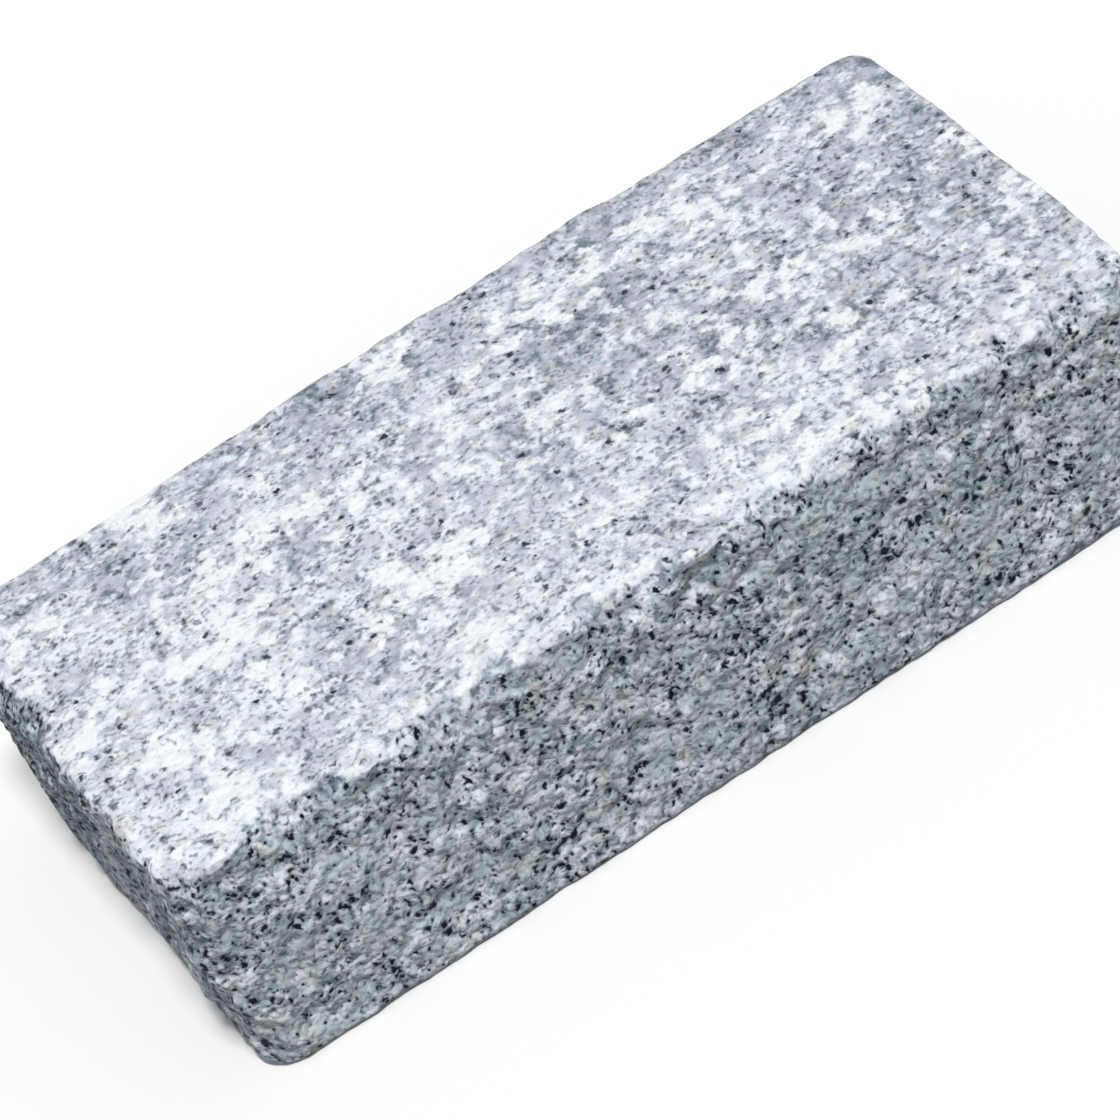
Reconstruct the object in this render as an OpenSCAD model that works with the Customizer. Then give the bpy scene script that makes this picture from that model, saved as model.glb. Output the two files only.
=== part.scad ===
// Granite palisade: one split block of stone, lying on its broad side.
//
// Millimetres, +Z up. X runs along the length and Y across the width, with the
// front side at -Y, and the origin is at the middle of the underside. The stone's
// swells reach its nominal faces, and everything else lies inside them.

/* [Block] */
// Length of the stone
length = 500; // [300:10:1000]
// Width across its broad side
width = 250; // [160:5:400]
// Height as it lies, which is the stone's thickness
height = 120; // [80:5:200]
// How far the left end is out of square, which makes the front side the shorter one
left_skew = 20; // [0:1:40]

/* [Corners and edges] */
// Radius of the upright corners, but for the worn one
corner_r = 18; // [14:1:30]
// Radius of the worn upright corner, at the front right
worn_corner_r = 20; // [14:1:40]
// Rounding of the edge round the top face
top_edge_r = 3; // [2:0.5:6]
// Rounding of the edge round the underside
bed_edge_r = 3; // [1:0.5:6]

/* [Split faces] */
// Depth of the hollows of the top face
top_hollow = 1.5; // [0:0.1:4]
// Depth of the hollows of the front side
front_hollow = 2; // [0:0.1:5]
// Depth of the hollows of the back side
back_hollow = 1.5; // [0:0.1:5]
// Depth of the hollows of the left end
left_hollow = 5; // [0:0.1:6]
// Depth of the hollows of the right end
right_hollow = 0.5; // [0:0.1:5]
// Length from one swell of a split face to the next
swell_pitch = 150; // [80:5:300]
// How far the top face falls away towards its outer edge
crown = 1; // [0:0.1:6]

/* [Spalls] */
// How far a spall cuts into the top face
spall_depth = 6; // [0:0.5:8]
// How far a spall runs down the side
spall_height = 14; // [0:1:30]
// Half the length of a spall along the edge
spall_reach = 28; // [20:1:60]

/* [Hidden] */

stone_grey = [0.70, 0.73, 0.76];

half_l = length / 2;
half_w = width / 2;

// Spacing of the outline's points, and how many steps the corners, the edges'
// roundings, the sides and the top face have
edge_step = 12.5;
corner_steps = 5;
round_steps = 3;
side_steps = 6;
top_steps = 6;

// The stone is made this much too deep, and then cut flat at its underside
bed_cut = 10;
// Share of a side's hollows that is left at its foot
foot_share = 0.3;
// How far a full spall is scooped out: 0 is a rounding and 1 a hollow quarter ellipse
scoop = 0.6;

// The spalls along the top edge: each one's middle as shares of the half length and
// half width, and its size beside the three values above
spalls = [
    [-0.74, -1, 0.9], [-0.43, -1, 0.9], [-0.06, -1, 1], [0.25, -1, 0.8], [0.50, -1, 0.5],
    [0.86, -1, 0.8], [-1, 0.5, 0.7], [-1, -0.5, 0.4], [-1, -1, 0.5], [0.3, 1, 0.2]
];

// A slow wave through the stone, from -1 to 1, that every face takes its swells from
function swell(p, z) =
    0.6 * sin(360 * (p.x - 0.2 * z) / swell_pitch + 100)
        * cos(360 * (p.y + 0.2 * z) / swell_pitch + 30)
    + 0.4 * cos(360 * (0.5 * p.x - 0.8 * p.y + 0.6 * z) / swell_pitch);

// How far a face lies below its highest swell, where its hollows have this depth
function sunk(depth, p, z) = depth * (1 - swell(p, z)) / 2;

// Depth of the hollows of the side that faces a way, blended round the corners
function side_depth(out) =
    pow(out.x, 2) * (out.x < 0 ? left_hollow : right_hollow)
    + pow(out.y, 2) * (out.y < 0 ? front_hollow : back_hollow);

// Height of the top face
function top_z(p) =
    height - sunk(top_hollow, p, height)
    - crown * pow(max(abs(p.x) / half_l, abs(p.y) / half_w), 4);

// How much of a spall there is at a point of the outline
function spalled(p) =
    max([for (s = spalls) s[2] * bump(norm([p.x - s.x * half_l, p.y - s.y * half_w]) / spall_reach)]);
function bump(t) = t < 1 ? (1 + cos(180 * t)) / 2 : 0;

// The outline in plan, anticlockwise, as pairs of a point and its outward direction
function run(from, to, out) =
    let (steps = ceil(norm(to - from) / edge_step))
    [for (i = [0:steps]) [from + (to - from) * i / steps, out]];
function corner(x_side, y_side, r, start) =
    let (middle = [x_side * (half_l - r), y_side * (half_w - r)])
    [for (i = [1:corner_steps - 1])
        let (a = start + 90 * i / corner_steps, out = [cos(a), sin(a)])
        [middle + r * out, out]];
function outline() =
    let (r = corner_r, w = worn_corner_r)
    concat(
        run([r - half_l, -half_w], [half_l - w, -half_w], [0, -1]), corner(1, -1, w, -90),
        run([half_l, w - half_w], [half_l, half_w - r], [1, 0]), corner(1, 1, r, 0),
        run([half_l - r, half_w], [r - half_l, half_w], [0, 1]), corner(-1, 1, r, 90),
        run([-half_l, half_w - r], [-half_l, r - half_w], [-1, 0]), corner(-1, -1, r, 180)
    );

// One point of a side: this far in from the outline, and as deep as the hollow there
function side_point(p, out, inset, z) =
    let (
        share = foot_share + (1 - foot_share) * max(z, 0) / height,
        q = p - out * (inset + sunk(share * side_depth(out), p, z))
    )
    [q.x, q.y, z];

// The points of a side from below the underside up to the top face
function side_column(p, out) =
    let (
        share = spalled(p),
        edge_in = top_edge_r + spall_depth * share,
        edge_down = top_edge_r + spall_height * share,
        top = top_z(p),
        shoulder = top - edge_down
    )
    concat(
        [side_point(p, out, bed_edge_r, -bed_cut)],
        [for (i = [0:round_steps]) let (a = 90 * i / round_steps)
            side_point(p, out, bed_edge_r * (1 - sin(a)), bed_edge_r * (1 - cos(a)))],
        [for (i = [1:side_steps - 1])
            side_point(p, out, 0, bed_edge_r + (shoulder - bed_edge_r) * i / side_steps)],
        [for (i = [0:round_steps])
            let (a = 90 * i / round_steps, cut = scoop * share,
                inward = (1 - cut) * (1 - cos(a)) + cut * sin(a),
                down = (1 - cut) * (1 - sin(a)) + cut * cos(a))
            side_point(p, out, edge_in * inward, top - edge_down * down)]
    );

// A point moved along the stone to where the skewed left end puts it
function skewed(p) =
    [p.x + left_skew * (half_w - corner_r - p.y) / width * (half_l - p.x) / length, p.y, p.z];

// The points of the top face from a side's last point towards the middle
function top_column(rim) =
    [for (i = [1:top_steps - 1])
        let (q = [rim.x, rim.y] * (1 - i / top_steps)) [q.x, q.y, top_z(q)]];

// A closed skin over columns of equal length, with a point at each end to close it
module skin(columns, low, high) {
    n = len(columns);
    rows = len(columns[0]);
    points = concat([for (c = columns) each c], [low, high]);
    polyhedron(points, concat(
        [for (i = [0:n - 1], j = [0:rows - 2])
            let (a = i * rows + j, b = (i + 1) % n * rows + j)
            each [[a, a + 1, b + 1], [a, b + 1, b]]],
        [for (i = [0:n - 1]) [n * rows, i * rows, (i + 1) % n * rows]],
        [for (i = [0:n - 1]) [n * rows + 1, ((i + 1) % n + 1) * rows - 1, (i + 1) * rows - 1]]
    ));
}

// The whole stone, with its underside cut flat
module palisade() {
    columns = [for (c = outline())
        let (side = side_column(c[0], c[1]), column = concat(side, top_column(side[len(side) - 1])))
        [for (p = column) skewed(p)]];
    color(stone_grey) difference() {
        skin(columns, skewed([0, 0, -bed_cut]), skewed([0, 0, top_z([0, 0])]));
        translate([-length, -width, -2 * bed_cut]) cube([2 * length, 2 * width, 2 * bed_cut]);
    }
}

palisade();
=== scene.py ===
import math

import bmesh
import bpy
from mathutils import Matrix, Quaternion, Vector, noise


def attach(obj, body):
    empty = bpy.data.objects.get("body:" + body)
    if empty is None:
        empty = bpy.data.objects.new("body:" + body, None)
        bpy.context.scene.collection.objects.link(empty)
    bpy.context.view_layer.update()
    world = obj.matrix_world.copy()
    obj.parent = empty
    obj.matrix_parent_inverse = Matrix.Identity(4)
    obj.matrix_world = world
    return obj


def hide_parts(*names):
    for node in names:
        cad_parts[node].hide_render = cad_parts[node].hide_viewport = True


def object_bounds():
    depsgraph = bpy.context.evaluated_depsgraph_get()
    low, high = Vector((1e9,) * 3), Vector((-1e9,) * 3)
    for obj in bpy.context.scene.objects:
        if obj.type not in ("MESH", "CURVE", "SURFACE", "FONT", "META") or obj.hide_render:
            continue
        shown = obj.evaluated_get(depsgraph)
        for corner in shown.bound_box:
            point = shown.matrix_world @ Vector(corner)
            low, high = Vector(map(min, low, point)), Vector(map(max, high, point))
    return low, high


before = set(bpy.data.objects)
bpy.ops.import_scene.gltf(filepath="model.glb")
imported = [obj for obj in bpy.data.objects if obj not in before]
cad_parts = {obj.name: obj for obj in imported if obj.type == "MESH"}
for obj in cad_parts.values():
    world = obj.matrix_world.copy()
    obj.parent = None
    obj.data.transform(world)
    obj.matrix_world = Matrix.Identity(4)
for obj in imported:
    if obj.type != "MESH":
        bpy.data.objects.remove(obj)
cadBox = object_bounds()


# the stone's shape, in metres

stone = {
    "merge": 0.00001,        # corners of the CAD mesh this close are one
    "voxel": 0.00176,        # side of a mesh face after the remesh
    "relax": 4,              # smoothing passes that take the CAD facets away
    "topInset": 0.0003,      # room kept inside the CAD faces for the relief
    "sideInset": 0.0006,
    "topRelief": [(0.048, 0.0008), (0.017, 0.0009), (0.0065, 0.0005)],    # pitch and depth
    "sideRelief": [(0.048, 0.0016), (0.023, 0.0030), (0.011, 0.0024), (0.0062, 0.0020)],
    "sideStretch": 0.7,      # below 1 the lumps of the sides stand taller than they are wide
    "endRelief": 1.30,       # the left end is this much rougher than the long sides
    "quietRim": 0.15,        # share of the relief along the back and right top edges
    "quietHeight": 0.045,    # and the height over which it would grow from nothing to full
    "bedMargin": 0.0002,     # what lies this close to the underside and faces down is flat
    "bedFacing": -0.98,
    "bedShare": 0.15,        # share of the relief of the sides at their foot
    "bedCalm": 0.024,        # and the height over which it would grow from nothing to full
    "edgeFacing": (0.97, 0.85),    # largest part of a normal where an edge starts and is full
    "chipPitch": 0.013,      # small chips along the edges
    "chipDepth": 0.0038,
    "smallChips": 0.5,       # share of chips half as wide
    "chipGap": 0.05,         # more of this leaves more of an edge whole
    "workedFacing": -0.2,    # normals below this on X or Y are on the front or the left end
    "quietEdges": 0.15,      # share of the chipping that the other edges get
    "edgeWidth": 0.016,      # how far down and in the edge's bites go
    "frontBites": [          # front edge: place on X, half length, and depth, below 0 on a lip
        (-0.205, 0.011, -0.0045), (-0.182, 0.011, 0.0016), (-0.170, 0.009, 0.0028),
        (-0.152, 0.012, 0.0020), (-0.134, 0.009, -0.0030), (-0.118, 0.010, 0.0028),
        (-0.103, 0.011, 0.0022), (-0.087, 0.007, -0.0045), (-0.070, 0.014, 0.0030),
        (-0.038, 0.010, -0.0020), (-0.021, 0.010, 0.0022), (-0.004, 0.008, -0.0012),
        (0.029, 0.014, -0.0045), (0.062, 0.014, 0.0036), (0.095, 0.015, 0.0016),
        (0.139, 0.007, -0.0040), (0.150, 0.006, 0.0028), (0.166, 0.011, -0.0050),
        (0.182, 0.007, 0.0032), (0.199, 0.010, -0.0050), (0.226, 0.016, 0.0008),
    ],
    "lipRise": 0.3,          # a lip stands out sideways, and rises by this share of it
    "endBites": [(0.030, 0.034, 0.0040)],    # the left end's edge, by place on Y
    "backFill": [            # where the back edge is fuller: place on X, half length, height
        (-0.062, 0.072, 0.0026), (-0.004, 0.040, 0.0008), (0.086, 0.050, 0.0021),
    ],
    "rightFill": [(0.020, 0.105, 0.0011), (-0.050, 0.055, 0.0024)],    # the right's, on Y
    "leftRim": (-0.250, 0.107, 0.08),    # the left end's rim: X at its back, Y there, and slant
    "paleFacing": (0.45, 0.70),          # the pale dressed skin: an upright normal that has
    "paleHeight": (0.1150, 0.1170),      # none of it and all of it, and the same for a height
    "paleWander": [(0.009, 0.15), (0.012, 0.0015)],    # pitch and reach of the border's wander
    "paleBite": (150, 2),                # how much a bite takes off the normal and the height
    "endReach": (0.024, 0.008),          # how far in from its rim the left end's shade goes
    "endFront": 0.3,                     # share of that shade at the front,
    "endRise": (-0.010, 0.060),          # and the places on Y between which it grows to full
    "ledgeFacing": (0.25, 0.65),         # upright normals at which ledges get no painted shade, and full painted shade
    "ledgeBite": 110,                    # how much a bite adds to that normal
    "seeds": {"top": 3.1, "sides": 7.7, "chips": 11.4, "smallChips": 12.9,
              "paleFacing": 21.3, "paleHeight": 4.4},
}


def copyOfNode(name):
    # a merged copy of the CAD node, because its own mesh stays as it is
    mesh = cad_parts[name].data.copy()
    bm = bmesh.new()
    bm.from_mesh(mesh)
    bmesh.ops.remove_doubles(bm, verts=bm.verts, dist=stone["merge"])
    bm.to_mesh(mesh)
    bm.free()
    mesh.materials.clear()
    piece = bpy.data.objects.new(name + "Stone", mesh)
    bpy.context.scene.collection.objects.link(piece)
    return piece


def applyModifiers(piece):
    depsgraph = bpy.context.evaluated_depsgraph_get()
    mesh = bpy.data.meshes.new_from_object(piece.evaluated_get(depsgraph))
    piece.modifiers.clear()
    piece.data = mesh


def evenMesh(piece):
    remesh = piece.modifiers.new("EvenMesh", "REMESH")
    remesh.mode = "VOXEL"
    remesh.voxel_size = stone["voxel"]
    relax = piece.modifiers.new("Relax", "SMOOTH")
    relax.iterations = stone["relax"]
    applyModifiers(piece)


def grow(value, start, end):
    # from 0 to 1 as the value goes from start to end, which may be the lower one
    return min(1.0, max(0.0, (value - start) / (end - start)))


def swell(away):
    # a smooth hump: 1 in its middle and 0 at a distance of 1
    return (1 + math.cos(math.pi * away)) / 2


def wave(point, pitch, seed):
    # smooth noise from about -1 to 1, with one swell per pitch
    return noise.noise(point / pitch + Vector((seed, 2.3 * seed, -1.7 * seed)))


def edgeShare(normal):
    # 1 on the rounded edges, 0 on the flats
    return grow(max(abs(normal.x), abs(normal.y), abs(normal.z)), *stone["edgeFacing"])


def chipping(point, normal):
    # how deep the small chips are at a point of an edge
    pitch, seeds = stone["chipPitch"], stone["seeds"]
    chip = wave(point, pitch, seeds["chips"])
    chip += stone["smallChips"] * wave(point, pitch / 2, seeds["smallChips"])
    worked = min(normal.x, normal.y) < stone["workedFacing"]
    share = edgeShare(normal) * (1.0 if worked else stone["quietEdges"])
    return stone["chipDepth"] * share * max(0.0, chip - stone["chipGap"])


def relief(point, normal):
    # how far a point of the skin moves out
    top = max(0.0, normal.z)
    below = (cadBox[1][2] - point.z) / stone["quietHeight"]
    quiet = 1 - max(normal.x, normal.y, 0.0) * (1 - min(1.0, stone["quietRim"] + below))
    rough = quiet * (1 + (stone["endRelief"] - 1) * min(normal.x, 0) ** 2)
    above = point.z / (stone["bedCalm"] * (1 + normal.x ** 2))
    calm = min(1.0, stone["bedShare"] + above)
    onTop, onSide = -stone["topInset"], -stone["sideInset"] * calm
    for i, (pitch, depth) in enumerate(stone["topRelief"]):
        onTop += depth * wave(point, pitch, stone["seeds"]["top"] + i)
    tall = Vector((point.x, point.y, point.z * stone["sideStretch"]))
    for i, (pitch, depth) in enumerate(stone["sideRelief"]):
        onSide += depth * calm * rough * wave(tall, pitch, stone["seeds"]["sides"] + i)
    return top * onTop + (1 - top) * onSide - calm * chipping(point, normal)


def leftRim(point):
    x, y, slant = stone["leftRim"]
    return x + slant * (y - point.y)


def biteDepth(place, inward, down, bites):
    # how deep the bites of an edge are at a place along it, in and down from it
    across = math.hypot(inward, down) / stone["edgeWidth"]
    depth = 0.0
    if across < 1:
        for middle, reach, deepest in bites:
            away = math.hypot((place - middle) / reach, across)
            if away < 1:
                depth += deepest * swell(away)
    return depth


def biteMove(point):
    # the move that the bites, the lips and the fuller edges give a point
    low, high = cadBox
    down = point.z - high[2]
    front = biteDepth(point.x, point.y - low[1], down, stone["frontBites"])
    end = biteDepth(point.y, point.x - leftRim(point), down, stone["endBites"])
    back = biteDepth(point.x, point.y - high[1], down, stone["backFill"])
    right = biteDepth(point.y, point.x - high[0], down, stone["rightFill"])
    bite = front + end
    drop = bite if bite > 0 else stone["lipRise"] * bite
    return bite, Vector((end + right, front + back, back + right - drop))


def dressedShare(point, normal, bite):
    # 1 on the dressed top face, 0 on the split sides, with a wandering border
    (pitch, reach), (lowPitch, lowReach) = stone["paleWander"]
    upright = normal.z + reach * wave(point, pitch, stone["seeds"]["paleFacing"])
    height = point.z + lowReach * wave(point, lowPitch, stone["seeds"]["paleHeight"])
    return min(grow(upright - stone["paleBite"][0] * bite, *stone["paleFacing"]),
               grow(height - stone["paleBite"][1] * bite, *stone["paleHeight"]))


def endShare(point):
    # how far a point belongs to the darker left end, which is darkest at its back
    front = stone["endFront"]
    end = grow(point.x - leftRim(point), *stone["endReach"])
    return end * (front + (1 - front) * grow(point.y, *stone["endRise"]))


def ledgeShare(normal, bite):
    # 1 on ledges of split stone that face upwards, which get painted shade
    return grow(normal.z + stone["ledgeBite"] * bite, *stone["ledgeFacing"])


def roughen(piece):
    # sculpt the relief, keep the stone in its CAD box and its underside flat
    mesh = piece.data
    low, high = cadBox
    moved = []
    shares = {"dressed": [], "ledgePaintedShade": [], "leftEnd": []}
    for v in mesh.vertices:
        if v.co.z < low[2] + stone["bedMargin"] and v.normal.z < stone["bedFacing"]:
            p = Vector((v.co.x, v.co.y, low[2]))
            dressed = ledgePaintedShade = leftEnd = 0.0
        else:
            bite, move = biteMove(v.co)
            p = v.co + v.normal * relief(v.co, v.normal) + move
            p = Vector([min(max(p[i], low[i]), high[i]) for i in range(3)])
            dressed = dressedShare(p, v.normal, bite)
            # painted shade on the upward ledges of the split sides
            ledgePaintedShade = (1 - dressed) * ledgeShare(v.normal, bite)
            leftEnd = (1 - dressed) * endShare(v.co)
        moved.append(p)
        shares["dressed"].append(dressed)
        shares["ledgePaintedShade"].append(ledgePaintedShade)
        shares["leftEnd"].append(leftEnd)
    for v, p in zip(mesh.vertices, moved):
        v.co = p
    for name, values in shares.items():
        mesh.attributes.new(name, "FLOAT", "POINT").data.foreach_set("value", values)
    mesh.update()


def joinUnderside(piece):
    # the flat underside needs one face only
    bm = bmesh.new()
    bm.from_mesh(piece.data)
    flat = [f for f in bm.faces if all(v.co.z == cadBox[0][2] for v in f.verts)]
    bmesh.ops.dissolve_faces(bm, faces=flat, use_verts=True)
    for f in bm.faces:
        f.smooth = len(f.verts) <= 4    # all but the underside
    bm.to_mesh(piece.data)
    bm.free()


palisade = copyOfNode("palisade")
evenMesh(palisade)
print("even mesh:", len(palisade.data.polygons), "faces")
roughen(palisade)
joinUnderside(palisade)
triangles = sum(len(face.vertices) - 2 for face in palisade.data.polygons)
print("relief sculpted:", triangles, "triangles")

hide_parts("palisade")
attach(palisade, "root")


# the granite, with its pitches in mm

granite = {
    "jogPitch": 3.0,          # how the crystals' outlines wander
    "crystalJog": 0.8,
    "fleckJog": 2.8,
    "crystalPitch": 4.3,      # feldspar and quartz crystals
    "cloudPitch": 6.5,        # drifts of lighter and darker crystals
    "cloudFade": (0.30, 0.70),
    "cloudShare": 0.62,       # share of a crystal's tone that comes from them
    "slowPitch": 40.0,        # and slower drifts, how strong
    "slowShare": (1.0, 1.45),         # pairs like this: on the split sides, and on the top
    "across": (-0.0006, -0.0011, 0),  # painted light: the top gets lighter this way, per mm, towards its front and left
    "rimFade": (0.40, 0.85),  # crystals get darker towards their rims
    "rimDark": 0.25,
    "lift": 0.10,             # what evens that out
    "contrast": (1.55, 0.90),
    "tone": (0.855, 0.645),   # the tone in the middle of that contrast
    "paintedShadeOnLedges": 0.30,        # painted shade on the ledges, and how much darker the left end is
    "endDark": 0.40,
    "crystals": [             # from dark to light: tone and colour
        (0.12, (0.185, 0.230, 0.270, 1)),     # quartz
        (0.36, (0.380, 0.430, 0.490, 1)),     # grey feldspar
        (0.62, (0.585, 0.645, 0.720, 1)),     # pale feldspar
        (0.92, (0.860, 0.912, 0.960, 1)),     # milky feldspar
    ],
    "tintPitch": 13.0,        # slow drifts of tint, whose fades like this give where they
    "lilacFade": (0.43, 0.60, 0.0, 0.60),     # start and are full, and their share at both
    "lilac": (0.565, 0.567, 0.665, 1),
    "sageFade": (0.42, 0.60, 0.0, 0.56),
    "sage": (0.34, 0.47, 0.48, 1),
    "sageShare": (1.0, 0.12),
    "sageOffPaintedShade": 0.7,      # the share of the sage that the ledges lose under their painted shade
    "creamFade": (0.56, 0.70, 0.0, 0.50),
    "cream": (0.74, 0.69, 0.64, 1),
    "fleckPitch": 5.2,        # black mica flakes, the larger ones
    "fleckSize": 0.39,        # radius of the largest, as a share of that pitch
    "fleckFrom": (1.0, 1.24), # crowding at which there are flakes
    "fleckFull": 2.1,         # and the largest ones
    "fleckLess": 0.03,        # how much smaller they are on the top
    "fleckEdge": (-0.01, -0.07),      # how far inside the outline a flake starts to show
    "fleckInside": 0.12,              # and is black
    "fleckGrey": (0.2, 1.0, 0.0, 0.45),       # some flakes of the top are greyer
    "crowdPitch": 17.0,       # where they crowd together
    "crowdShare": 1.9,
    "crowdAtEnd": 0.17,       # how much more they do so at the left end
    "crumbPitch": 2.5,        # small flakes between them
    "crumbCrowd": 0.35,
    "crumbFade": (0.82, 0.95),
    "crumbShare": (1.0, 0.4),
    "mica": (0.0045, 0.0090, 0.0155, 1),
    "micaOnTop": (0.022, 0.031, 0.046, 1),
    "micaHalo": (0.115, 0.168, 0.198, 1),     # darker stone round the mica
    "micaHaloOnTop": (0.130, 0.155, 0.200, 1),
    "fleckHalo": (-0.30, 0.02, 0.0, 0.72),
    "crumbHalo": (0.70, 0.86, 0.0, 0.50),
    "haloShare": (1.0, 0.88),
    "bruise": (0.93, 0.97, 1.0, 1),           # pale bruises on the top
    "bruisePitch": 10.0,
    "bruiseField": 40.0,      # the fields they gather in, how closely,
    "bruiseGather": 0.60,
    "bruiseInPaintedLight": 0.12,     # and how much more on the top's lighter part, which is painted light
    "bruiseFade": (0.80, 0.95),
    "bruiseCover": 0.9,       # how much they cover of the stone, and of the mica
    "bruiseVeil": 0.45,
    "lumpPitch": 5.4,         # the bump: lumps, domed crystals and pits of mica
    "lumpStretch": (1, 1, 0.7),
    "lumpHeight": 4.0,
    "crystalDome": 1.3,
    "fleckPit": 1.6,
    "fleckPitRim": -0.25,
    "crumbPit": 0.6,
    "bumpShare": (1.0, 0.4),
    "bumpDepth": 0.0010,      # in metres
    "roughness": 0.75,
    "micaRoughness": 0.5,
    "specular": 0.08,
    "starts": {               # where in the noise each pattern starts
        "slow": (25, 0, 60), "tint": (40, 0, 7), "crowd": (0, 0, 90), "mica": (0, 55, 0),
        "bruiseField": (5, 20, 0), "bruise": (60, 20, 0), "lump": (5, 5, 30),
    },
}


def addNode(tree, kind, settings, **inputs):
    # a node with its settings, and its inputs, which are named or numbered as i0, i1, i2,
    # joined to sockets or given values
    made = tree.nodes.new("ShaderNode" + kind)
    for key, value in settings.items():
        setattr(made, key, value)
    for key, value in inputs.items():
        numbered = key[0] == "i" and key[1:].isdigit()
        socket = made.inputs[int(key[1:]) if numbered else key]
        if isinstance(value, bpy.types.NodeSocket):
            tree.links.new(value, socket)
        else:
            socket.default_value = value
    return made


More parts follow.
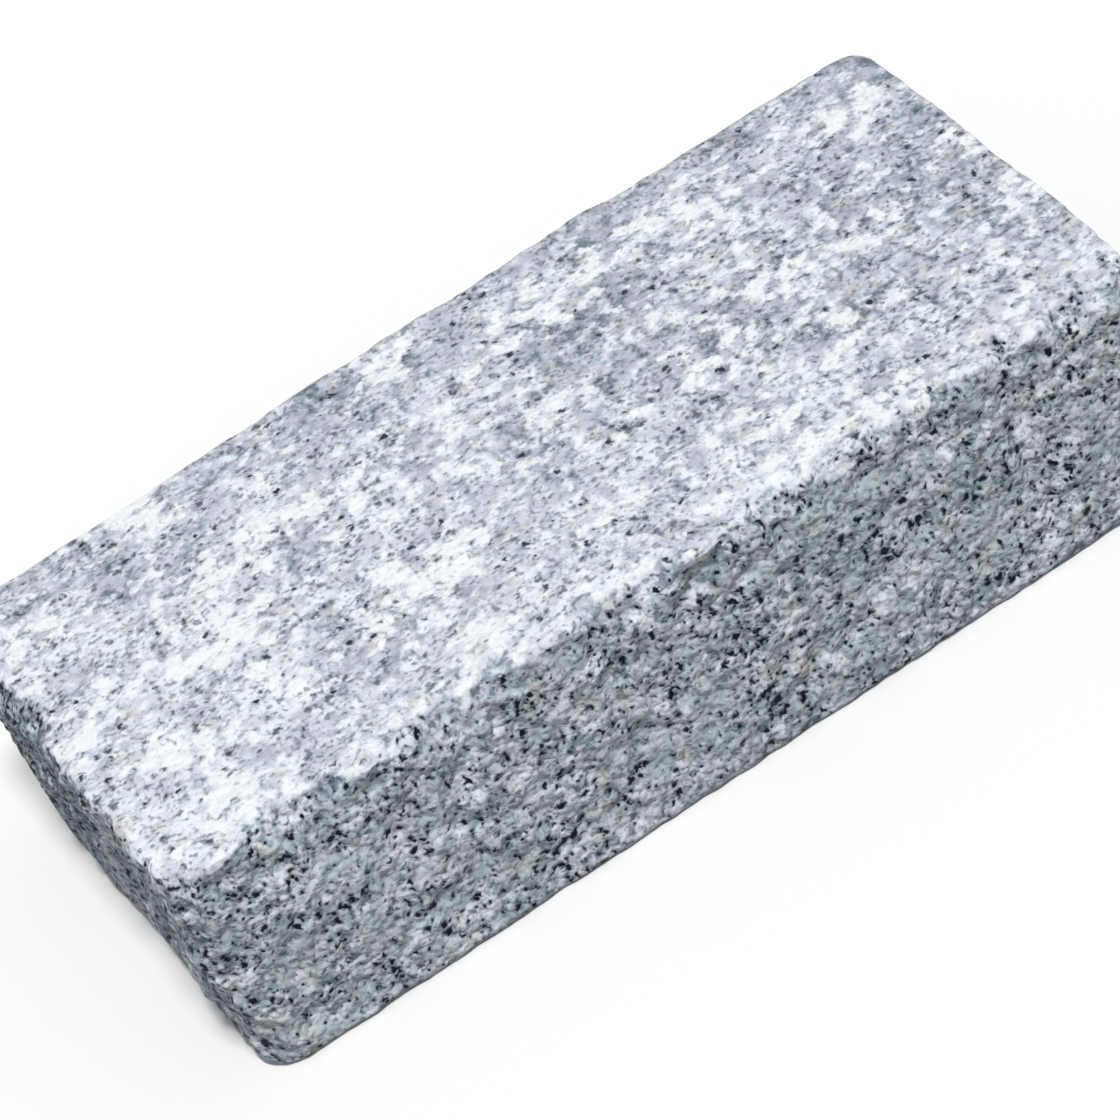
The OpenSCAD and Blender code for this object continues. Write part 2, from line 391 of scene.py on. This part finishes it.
def graniteMaterial():
    material = bpy.data.materials.new("splitGranite")
    material.use_nodes = True
    tree = material.node_tree
    shader = tree.nodes["Principled BSDF"]

    def calc(operation, a, b=0.0, c=0.0):
        return addNode(tree, "Math", {"operation": operation}, i0=a, i1=b, i2=c).outputs[0]

    def fade(value, start, end, low=0.0, high=1.0):
        # a soft step from low to high as value goes from start to end
        made = addNode(tree, "MapRange", {"interpolation_type": "SMOOTHSTEP"},
                       i0=value, i1=start, i2=end, i3=low, i4=high)
        return made.outputs[0]

    def noiseAt(places, pitch, detail=2.0, roughness=0.5, output="Fac"):
        made = addNode(tree, "TexNoise", {}, Vector=places, Scale=1 / pitch, Detail=detail,
                       Roughness=roughness)
        return made.outputs[output]

    def cellsAt(places, pitch):
        return addNode(tree, "TexVoronoi", {"feature": "F1"}, Vector=places, Scale=1 / pitch)

    def partsOf(colour):
        return addNode(tree, "SeparateColor", {}, Color=colour).outputs

    def mix(factor, a, b):
        return addNode(tree, "Mix", {"data_type": "RGBA"}, i0=factor, i6=a, i7=b).outputs[2]

    def vector(operation, a, output="Vector", **inputs):
        made = addNode(tree, "VectorMath", {"operation": operation}, i0=a, **inputs)
        return made.outputs[output]

    def started(places, name):
        return vector("ADD", places, i1=granite["starts"][name])

    def jogged(amount):
        # places moved about, so that what is laid there gets a wandering outline
        return vector("MULTIPLY_ADD", wander, i1=(amount * 2,) * 3, i2=mm)

    def attribute(name):
        return addNode(tree, "Attribute", {"attribute_name": name}).outputs["Fac"]

    def bySkin(name):
        # a value that is one thing on the split sides and another on the dressed top
        sides, top = granite[name]
        return calc("MULTIPLY_ADD", dressed, top - sides, sides)

    mm = vector("SCALE", addNode(tree, "TexCoord", {}).outputs["Object"], Scale=1000.0)
    wander = noiseAt(mm, granite["jogPitch"], detail=1.0, output="Color")
    dressed = attribute("dressed")
    # painted shade of the upward ledges
    ledgePaintedShade = attribute("ledgePaintedShade")
    leftEnd = attribute("leftEnd")
    # painted light: a gradient that makes the top lighter towards its front and left and darker
    # towards its back and right
    across = vector("DOT_PRODUCT", mm, output="Value", i1=granite["across"])

    # light crystals of wandering outline in lighter and darker drifts
    crystals = cellsAt(jogged(granite["crystalJog"]), granite["crystalPitch"])
    cloud = fade(noiseAt(mm, granite["cloudPitch"], 3.0, 0.6), *granite["cloudFade"])
    tone = calc("MULTIPLY", partsOf(crystals.outputs["Color"])[0], 1 - granite["cloudShare"])
    tone = calc("MULTIPLY_ADD", cloud, granite["cloudShare"], tone)
    slow = noiseAt(started(mm, "slow"), granite["slowPitch"], roughness=0.6)
    tone = calc("MULTIPLY_ADD", calc("SUBTRACT", slow, 0.5), bySkin("slowShare"), tone)
    # painted light and shade across the dressed top
    tone = calc("MULTIPLY_ADD", across, dressed, tone)
    rim = fade(crystals.outputs["Distance"], *granite["rimFade"])
    tone = calc("MULTIPLY_ADD", rim, -granite["rimDark"], calc("ADD", tone, granite["lift"]))
    tone = calc("MULTIPLY_ADD", calc("SUBTRACT", tone, 0.5), bySkin("contrast"), bySkin("tone"))
    # painted shade: the ledges that face upwards are darkened
    tone = calc("MULTIPLY_ADD", ledgePaintedShade, -granite["paintedShadeOnLedges"], tone)
    endShade = calc("MULTIPLY", leftEnd, calc("SUBTRACT", 1.0, dressed))
    tone = calc("MULTIPLY_ADD", endShade, -granite["endDark"], tone)
    ramp = addNode(tree, "ValToRGB", {}, Fac=tone)
    stops = ramp.color_ramp.elements
    darkest, *between, lightest = granite["crystals"]
    stops[0].position, stops[0].color = darkest
    stops[1].position, stops[1].color = lightest
    for position, shade in between:
        stops.new(position).color = shade
    colour = ramp.outputs["Color"]

    # slow drifts of tint, greener on the split sides than on the top
    drift = noiseAt(started(mm, "tint"), granite["tintPitch"], 3.0, 0.6, "Color")
    lilac, sage, cream = partsOf(drift)[:3]
    colour = mix(fade(lilac, *granite["lilacFade"]), colour, granite["lilac"])
    # the painted shade of the ledges also takes sage away
    offLedgePaintedShade = calc("MULTIPLY_ADD", ledgePaintedShade, -granite["sageOffPaintedShade"], 1.0)
    sageShare = calc("MULTIPLY", bySkin("sageShare"), offLedgePaintedShade)
    sageShare = calc("MULTIPLY", fade(sage, *granite["sageFade"]), sageShare)
    colour = mix(sageShare, colour, granite["sage"])
    colour = mix(fade(cream, *granite["creamFade"]), colour, granite["cream"])

    # black mica, crowded in places
    crowd = noiseAt(started(mm, "crowd"), granite["crowdPitch"], roughness=0.6)
    crowd = calc("MULTIPLY_ADD", leftEnd, granite["crowdAtEnd"], crowd)
    flecks = cellsAt(started(jogged(granite["fleckJog"]), "mica"), granite["fleckPitch"])
    lot = partsOf(flecks.outputs["Color"])
    size = fade(calc("MULTIPLY_ADD", crowd, granite["crowdShare"], lot[0]),
                bySkin("fleckFrom"), granite["fleckFull"], 0.0, granite["fleckSize"])
    size = calc("MULTIPLY_ADD", dressed, -granite["fleckLess"], size)
    inFleck = calc("SUBTRACT", size, flecks.outputs["Distance"])
    grey = calc("MULTIPLY", dressed, fade(lot[1], *granite["fleckGrey"]))
    fleck = calc("MULTIPLY", fade(inFleck, bySkin("fleckEdge"), granite["fleckInside"]),
                 calc("SUBTRACT", 1.0, grey))
    crumbs = noiseAt(started(mm, "mica"), granite["crumbPitch"], 0.5, 0.4)
    inCrumb = calc("MULTIPLY_ADD", crowd, granite["crumbCrowd"], crumbs)
    crumb = calc("MULTIPLY", fade(inCrumb, *granite["crumbFade"]), bySkin("crumbShare"))
    mica = calc("MAXIMUM", fleck, crumb)

    # with darker stone around it, and pale bruises over that where the top was dressed
    halo = calc("MAXIMUM", fade(inFleck, *granite["fleckHalo"]),
                fade(inCrumb, *granite["crumbHalo"]))
    halo = calc("MULTIPLY", halo, bySkin("haloShare"))
    haloColour = mix(dressed, granite["micaHalo"], granite["micaHaloOnTop"])
    colour = mix(halo, colour, haloColour)
    field = noiseAt(started(mm, "bruiseField"), granite["bruiseField"], 1.0)
    bruise = noiseAt(started(mm, "bruise"), granite["bruisePitch"], 3.0, 0.62)
    bruise = calc("MULTIPLY_ADD", field, granite["bruiseGather"], bruise)
    # more bruises where the top has painted light
    bruise = calc("MULTIPLY_ADD", across, granite["bruiseInPaintedLight"], bruise)
    bruise = calc("MULTIPLY", fade(bruise, *granite["bruiseFade"]), dressed)
    cover = calc("MULTIPLY", bruise, granite["bruiseCover"])
    colour = mix(cover, colour, granite["bruise"])
    veil = calc("MULTIPLY_ADD", bruise, -granite["bruiseVeil"], 1.0)
    micaColour = mix(dressed, granite["mica"], granite["micaOnTop"])
    colour = mix(calc("MULTIPLY", mica, veil), colour, micaColour)
    tree.links.new(colour, shader.inputs["Base Color"])

    # crystals stand proud, mica lies in pits
    tall = vector("MULTIPLY", mm, i1=granite["lumpStretch"])
    lumps = noiseAt(started(tall, "lump"), granite["lumpPitch"], 1.0, 0.4)
    pit = calc("MAXIMUM", inFleck, granite["fleckPitRim"])
    height = calc("MULTIPLY", pit, -granite["fleckPit"])
    height = calc("MULTIPLY_ADD", lumps, granite["lumpHeight"], height)
    height = calc("MULTIPLY_ADD", crumbs, -granite["crumbPit"], height)
    height = calc("MULTIPLY_ADD", crystals.outputs["Distance"], -granite["crystalDome"], height)
    height = calc("MULTIPLY", height, bySkin("bumpShare"))
    bump = addNode(tree, "Bump", {}, Strength=1.0, Distance=granite["bumpDepth"], Height=height)
    tree.links.new(bump.outputs["Normal"], shader.inputs["Normal"])
    roughness = fade(mica, 0.0, 1.0, granite["roughness"], granite["micaRoughness"])
    tree.links.new(roughness, shader.inputs["Roughness"])
    shader.inputs["Specular IOR Level"].default_value = granite["specular"]
    return material


palisade.data.materials.append(graniteMaterial())
print("granite ready")


# floor, light and camera

studio = {
    "floorSize": 12.0,
    "floorGrey": (0.28, 0.28, 0.29, 1),     # what the stone sees of the floor
    "floorWhite": (1, 1, 1, 1),             # what the camera sees of it
    "floorRoughness": 1.0,
    "floorSpecular": 0.0,
    "skyColour": (1, 1, 1, 1),
    "sky": 0.37,                            # the sky's light
    "skyWhite": 1.0,                        # and how the camera sees it
    "keyStrength": 2.18,
    "keyFrom": (0.04, -0.39, 0.92),
    "keySoftness": 12.0,                    # in degrees
}

camera = {
    "target": (0.0002, 0.0262, 0.0329),
    "azimuth": -9.03,        # degrees from the front towards the right end
    "elevation": 38.17,
    "roll": 27.16,           # degrees anticlockwise in the view
    "distance": 1.861,
    "lens": 133.1,
    "sensor": 36.0,
    "clipEnd": 50.0,
}


def seenDirectly(tree):
    # 1 where the camera looks, or a mirror or glass, and 0 for the light's bounces
    rays = addNode(tree, "LightPath", {}).outputs
    share = rays["Is Camera Ray"]
    for kind in ("Is Glossy Ray", "Is Transmission Ray"):
        larger = addNode(tree, "Math", {"operation": "MAXIMUM"}, i0=share, i1=rays[kind])
        share = larger.outputs[0]
    return share


def makeFloor():
    bm = bmesh.new()
    bmesh.ops.create_grid(bm, x_segments=1, y_segments=1, size=studio["floorSize"] / 2)
    mesh = bpy.data.meshes.new("floor")
    bm.to_mesh(mesh)
    bm.free()
    floor = bpy.data.objects.new("floor", mesh)
    bpy.context.scene.collection.objects.link(floor)
    paper = bpy.data.materials.new("paper")
    paper.use_nodes = True
    tree = paper.node_tree
    shader = tree.nodes["Principled BSDF"]
    shader.inputs["Roughness"].default_value = studio["floorRoughness"]
    shader.inputs["Specular IOR Level"].default_value = studio["floorSpecular"]
    seen = addNode(tree, "Mix", {"data_type": "RGBA"}, i0=seenDirectly(tree),
                   i6=studio["floorGrey"], i7=studio["floorWhite"])
    tree.links.new(seen.outputs[2], shader.inputs["Base Color"])
    mesh.materials.append(paper)


def makeLight():
    world = bpy.data.worlds.new("studio")
    world.use_nodes = True
    tree = world.node_tree
    background = tree.nodes["Background"]
    background.inputs["Color"].default_value = studio["skyColour"]
    strength = addNode(tree, "MapRange", {}, i0=seenDirectly(tree),
                       i1=0.0, i2=1.0, i3=studio["sky"], i4=studio["skyWhite"])
    tree.links.new(strength.outputs[0], background.inputs["Strength"])
    bpy.context.scene.world = world
    lamp = bpy.data.lights.new("key", "SUN")
    lamp.energy = studio["keyStrength"]
    lamp.angle = math.radians(studio["keySoftness"])
    key = bpy.data.objects.new("key", lamp)
    key.rotation_euler = Vector(studio["keyFrom"]).to_track_quat("Z", "Y").to_euler()
    bpy.context.scene.collection.objects.link(key)


def makeCamera():
    data = bpy.data.cameras.new("camera")
    data.lens = camera["lens"]
    data.sensor_width = camera["sensor"]
    data.clip_end = camera["clipEnd"]
    eye = bpy.data.objects.new("camera", data)
    azimuth = math.radians(camera["azimuth"])
    elevation = math.radians(camera["elevation"])
    away = Vector((
        math.sin(azimuth) * math.cos(elevation),
        -math.cos(azimuth) * math.cos(elevation),
        math.sin(elevation),
    ))
    roll = Quaternion((0, 0, 1), -math.radians(camera["roll"]))
    eye.location = Vector(camera["target"]) + away * camera["distance"]
    eye.rotation_mode = "QUATERNION"
    eye.rotation_quaternion = away.to_track_quat("Z", "Y") @ roll
    bpy.context.scene.collection.objects.link(eye)
    bpy.context.scene.camera = eye


makeFloor()
makeLight()
makeCamera()
bpy.context.scene.view_settings.view_transform = "Standard"
print("studio ready")
